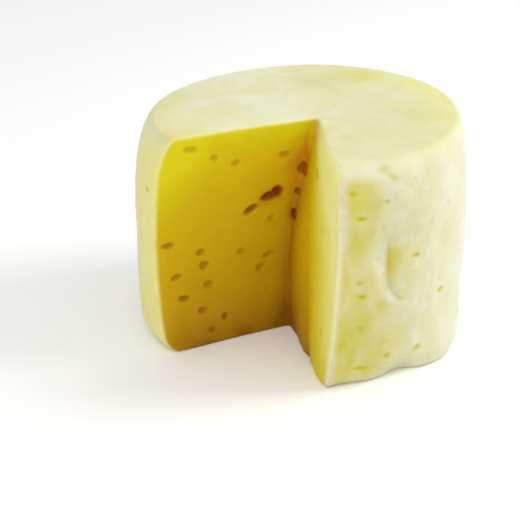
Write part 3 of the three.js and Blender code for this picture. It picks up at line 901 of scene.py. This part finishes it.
def measure(mesh, hollows):
    """Gives each point of the mesh the measures that the material reads."""
    points, normals = points_of(mesh), normals_of(mesh)
    x, y, z = points.T
    angle = np.degrees(np.arctan2(y, x)) % 360
    radius = np.hypot(x, y)
    height = z - slope_lift(x, y, z)
    left_along, left_behind, _ = wall_places("left", points)
    right_along, right_behind, right_length = wall_places("right", points)
    near_left, near_right = np.abs(left_behind), np.abs(right_behind)
    is_left = near_left < near_right
    depth = rind_depth(points, normals, angle, radius, height, np.minimum(near_left, near_right))

    along = np.where(is_left, left_along, right_along)
    corner = np.clip(along, 0, None)
    at_edge = ease(along, *EDGE_START)
    from_rim = ease(right_length - right_along, *RIM_CLEAR)
    left_paste, right_paste = [ease(depth, *PASTE_FROM[side]) for side in ("left", "right")]

    on_side = 1 - ease(height, *SIDE_END)
    on_top = ease(height, *TOP_START)
    on_right = 1 - ease(near_right, *ON_CUT)
    calm = CALM["less"] * ease(angle, *CALM["from"]) * (1 - ease(angle, *CALM["to"]))
    top_stain, top_shade = top_patches_at(x, y)
    pit, pit_stain = hollow_fields(points, hollows, "pit")
    eye, eye_shade = hollow_fields(points, hollows, "eye")
    blush, blush_share = hollow_fields(points, hollows, "blush")
    fields = {
        "depth": depth * np.where(is_left, LEFT_DEPTH, 1),
        # how deep the cut's painted shade is
        "deep": cut_shade_depth(left_along, corner, height, is_left),
        "crease_shade": crease_shade_of(corner, height, at_edge, is_left),
        "painted_glow": painted_glow_of(corner, height, at_edge, is_left),
        "side": on_side * (1 - calm),
        # the right wall's painted lit part, past the painted shadow's edge
        "pale": painted_lit_part_of(right_along, height, is_left) / PALE_REACH,
        "paste": np.where(is_left, left_paste, right_paste * from_rim),
        # wax, with the fold's painted shade and painted highlights
        "wax": side_wax_and_light(angle, height) * on_side + (top_wax(angle, radius) + top_stain) * on_top,
        "lemon_and_light": lemon_and_light_of(angle, radius, height, on_top),
        "shade": shade_of(angle, height, right_along, on_right) + top_shade * on_top,
        "pit": pit,
        "eye": eye,
        # pit stains, or the painted shade inside the holes
        "stain_or_shade": np.where(pit > eye, pit_stain, eye_shade),
        "blush": ease(blush, *BLUSH_FADE) * blush_share,
    }
    for name, values in fields.items():
        attribute = mesh.attributes.new(name, "FLOAT", "POINT")
        attribute.data.foreach_set("value", values.astype(np.float32))


def linear(colour):
    """A colour as a picture has it, turned to the numbers that a shader takes."""
    shares = [value / 255 for value in colour]
    return (*(s / 12.92 if s <= 0.04045 else ((s + 0.055) / 1.055) ** 2.4 for s in shares), 1)


class Graph:
    """Short ways to add nodes to a material."""

    def __init__(self, name):
        self.material = bpy.data.materials.new(name)
        self.material.use_nodes = True
        self.tree = self.material.node_tree
        self.shader = self.tree.nodes["Principled BSDF"]
        self.place = self.add("ShaderNodeTexCoord").outputs["Object"]

    def feed(self, socket, value):
        if isinstance(value, bpy.types.NodeSocket):
            self.tree.links.new(value, socket)
        else:
            socket.default_value = value

    def add(self, kind, inputs=None, **settings):
        node = self.tree.nodes.new(kind)
        for name, value in settings.items():
            setattr(node, name, value)
        for name, value in (inputs or {}).items():
            self.feed(node.inputs[name], value)
        return node

    def field(self, name):
        return self.add("ShaderNodeAttribute", attribute_name=name).outputs["Fac"]

    def math(self, operation, first, second):
        return self.add("ShaderNodeMath", {0: first, 1: second}, operation=operation).outputs[0]

    def ease(self, value, low, high, start=0, end=1):
        inputs = {"Value": value, "From Min": low, "From Max": high, "To Min": start, "To Max": end}
        return self.add("ShaderNodeMapRange", inputs, interpolation_type="SMOOTHSTEP").outputs["Result"]

    def noise(self, size, detail, stretch=1):
        """Soft noise with lumps of a size in millimetres, made taller by a stretch."""
        scale = (1, 1, 1 / stretch)
        place = self.add("ShaderNodeMapping", {"Vector": self.place, "Scale": scale}).outputs[0]
        inputs = {"Vector": place, "Scale": 1 / (size * MM), "Detail": detail}
        return self.add("ShaderNodeTexNoise", inputs).outputs["Fac"]

    def mottle(self, name):
        """One of the soft noises, eased to its values."""
        size, detail, stretch, span, values = MOTTLES[name]
        return self.ease(self.noise(size, detail, stretch), *span, *values)

    def mix(self, share, first, second):
        inputs = dict(zip(MIX_INPUTS, (share, first, second)))
        return self.add("ShaderNodeMix", inputs, data_type="RGBA").outputs[MIX_OUTPUT]

    def ramp(self, share, stops):
        node = self.add("ShaderNodeValToRGB", {"Fac": share})
        elements = node.color_ramp.elements
        elements.remove(elements[1])
        for i, (place, colour) in enumerate(stops):
            element = elements[0] if i == 0 else elements.new(place)
            element.position = place
            element.color = linear(colour)
        return node.outputs["Color"]


def stained_or_shaded(graph, colour, kind, stain_or_shade):
    """A colour with the stains of the pits, or with the painted shade inside the holes."""
    share = graph.ease(graph.field(kind), *STAIN_AND_SHADE_TURNS[kind])
    return graph.mix(graph.math("MULTIPLY", share, graph.field("stain_or_shade")), colour, linear(stain_or_shade))


def rind_colour(graph):
    """Pale and mottled, with upright streaks and flecks, and yellower where the wax shows."""
    side, wax = graph.field("side"), graph.field("wax")
    colour = graph.mix(graph.mottle("blotches"), linear(RIND["green"]), linear(RIND["cream"]))
    for mottle, tone in (("streaks", "beige"), ("flecks", "white")):
        share = graph.math("MULTIPLY", graph.mottle(mottle), side)
        colour = graph.mix(share, colour, linear(RIND[tone]))
    patches = graph.math("MULTIPLY", graph.mottle("patches"), side)
    wax = graph.math("ADD", wax, graph.math("MULTIPLY", patches, wax))
    wax = graph.math("ADD", wax, graph.mottle("faint"))
    for tone, turn in WAX_TURNS.items():
        colour = graph.mix(graph.ease(wax, *turn), colour, linear(RIND[tone]))
    colour = graph.mix(graph.field("lemon_and_light"), colour, linear(RIND["lemon_and_light"]))
    return stained_or_shaded(graph, colour, "pit", RIND["pit"])


def paste_colour(graph):
    """Paste with painted shade: deep gold inside the cut, brown towards its foot, and pale where the
    right wall is painted as lit, towards its rim.
    """
    drift = graph.mottle("drift")
    gold = graph.ramp(graph.math("ADD", graph.field("deep"), drift), PASTE["gold"])
    pale = graph.math("ADD", graph.field("pale"), drift)
    colour = graph.mix(graph.ease(pale, *PALE_TURN), gold, graph.ramp(pale, PASTE["pale"]))
    for name in ("crease_shade", "painted_glow", "blush"):
        colour = graph.mix(graph.field(name), colour, linear(PASTE[name]))
    return stained_or_shaded(graph, colour, "eye", PASTE["eye"])


def cheese_material():
    """Rind, a pale band under it that is partly a painted highlight on the cut's rounded edges, paste and
    shade, with a fine grain.
    """
    graph = Graph("cheese")
    under = graph.ease(graph.field("depth"), *UNDER_TURN)
    colour = graph.mix(under, rind_colour(graph), linear(PASTE["edge"]))
    colour = graph.mix(graph.field("paste"), colour, paste_colour(graph))
    colour = graph.mix(graph.field("shade"), colour, linear(RIND["shade"]))
    graph.feed(graph.shader.inputs["Base Color"], colour)

    rougher = graph.ease(graph.field("paste"), 0, 1, 0, PASTE_ROUGHER)
    graph.feed(graph.shader.inputs["Roughness"], graph.math("ADD", graph.mottle("rough"), rougher))
    grain = graph.noise(GRAIN["size"], GRAIN["detail"])
    inputs = {"Height": grain, "Strength": GRAIN["strength"], "Distance": GRAIN["rise"] * MM}
    graph.feed(graph.shader.inputs["Normal"], graph.add("ShaderNodeBump", inputs).outputs["Normal"])
    for name, value in SHADER.items():
        graph.shader.inputs[name].default_value = value
    return graph.material


hollows = all_hollows()
wheel = build_wheel(hollows)
measure(wheel.data, hollows)
wheel.data.materials.clear()
wheel.data.materials.append(cheese_material())

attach(wheel, "root")
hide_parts(NODE)


def add_floor():
    """A wide, plain, pale floor."""
    half = FLOOR["half"]
    corners = [(-half, -half, 0), (half, -half, 0), (half, half, 0), (-half, half, 0)]
    mesh = bpy.data.meshes.new("floor")
    mesh.from_pydata(corners, [], [(0, 1, 2, 3)])
    floor = bpy.data.objects.new("floor", mesh)
    bpy.context.scene.collection.objects.link(floor)
    graph = Graph("floor")
    graph.shader.inputs["Base Color"].default_value = FLOOR["colour"]
    graph.shader.inputs["Roughness"].default_value = FLOOR["roughness"]
    mesh.materials.append(graph.material)


def add_camera():
    """A camera that sees the wheel as the photograph does."""
    turn = Matrix.Rotation(math.radians(CAMERA["turn"]), 3, "Z")
    pitch, roll = math.radians(CAMERA["pitch"]), math.radians(CAMERA["roll"])
    back = turn @ Vector((0, -math.cos(pitch), math.sin(pitch)))
    level = turn @ Vector((1, 0, 0))
    upright = back.cross(level)
    right = level * math.cos(roll) + upright * math.sin(roll)
    up = upright * math.cos(roll) - level * math.sin(roll)
    distance = CAMERA["distance"]
    per_pixel = distance / PHOTO["focal"]
    place = back * distance - right * (PHOTO["x"] * per_pixel) + up * (PHOTO["y"] * per_pixel)
    data = bpy.data.cameras.new("camera")
    data.sensor_width = SENSOR
    data.lens = PHOTO["focal"] * SENSOR / PHOTO["width"]
    camera = bpy.data.objects.new("camera", data)
    rotation = Matrix((right, up, back)).transposed().to_4x4()
    camera.matrix_world = Matrix.Translation((place + Vector(CENTRING)) * MM) @ rotation
    bpy.context.scene.collection.objects.link(camera)
    bpy.context.scene.camera = camera


def add_light(name, azimuth, elevation, distance, size, power):
    """A soft square light that looks at the middle of the wheel."""
    data = bpy.data.lights.new(name, "AREA")
    data.size = size
    data.energy = power
    light = bpy.data.objects.new(name, data)
    level, rise = math.radians(azimuth), math.radians(elevation)
    way = Vector((math.cos(level) * math.cos(rise), math.sin(level) * math.cos(rise), math.sin(rise)))
    light.location = Vector((0, 0, HEIGHT / 2 * MM)) + way * distance
    light.rotation_euler = way.to_track_quat("Z", "Y").to_euler()
    bpy.context.scene.collection.objects.link(light)


def set_world(strength):
    """An even white light all round."""
    world = bpy.data.worlds.new("studio")
    world.use_nodes = True
    background = world.node_tree.nodes["Background"]
    background.inputs["Color"].default_value = (1, 1, 1, 1)
    background.inputs["Strength"].default_value = strength
    bpy.context.scene.world = world


add_floor()
add_camera()
for name, values in LIGHTS.items():
    add_light(name, **values)
set_world(WORLD_STRENGTH)
bpy.context.scene.view_settings.view_transform = "Standard"
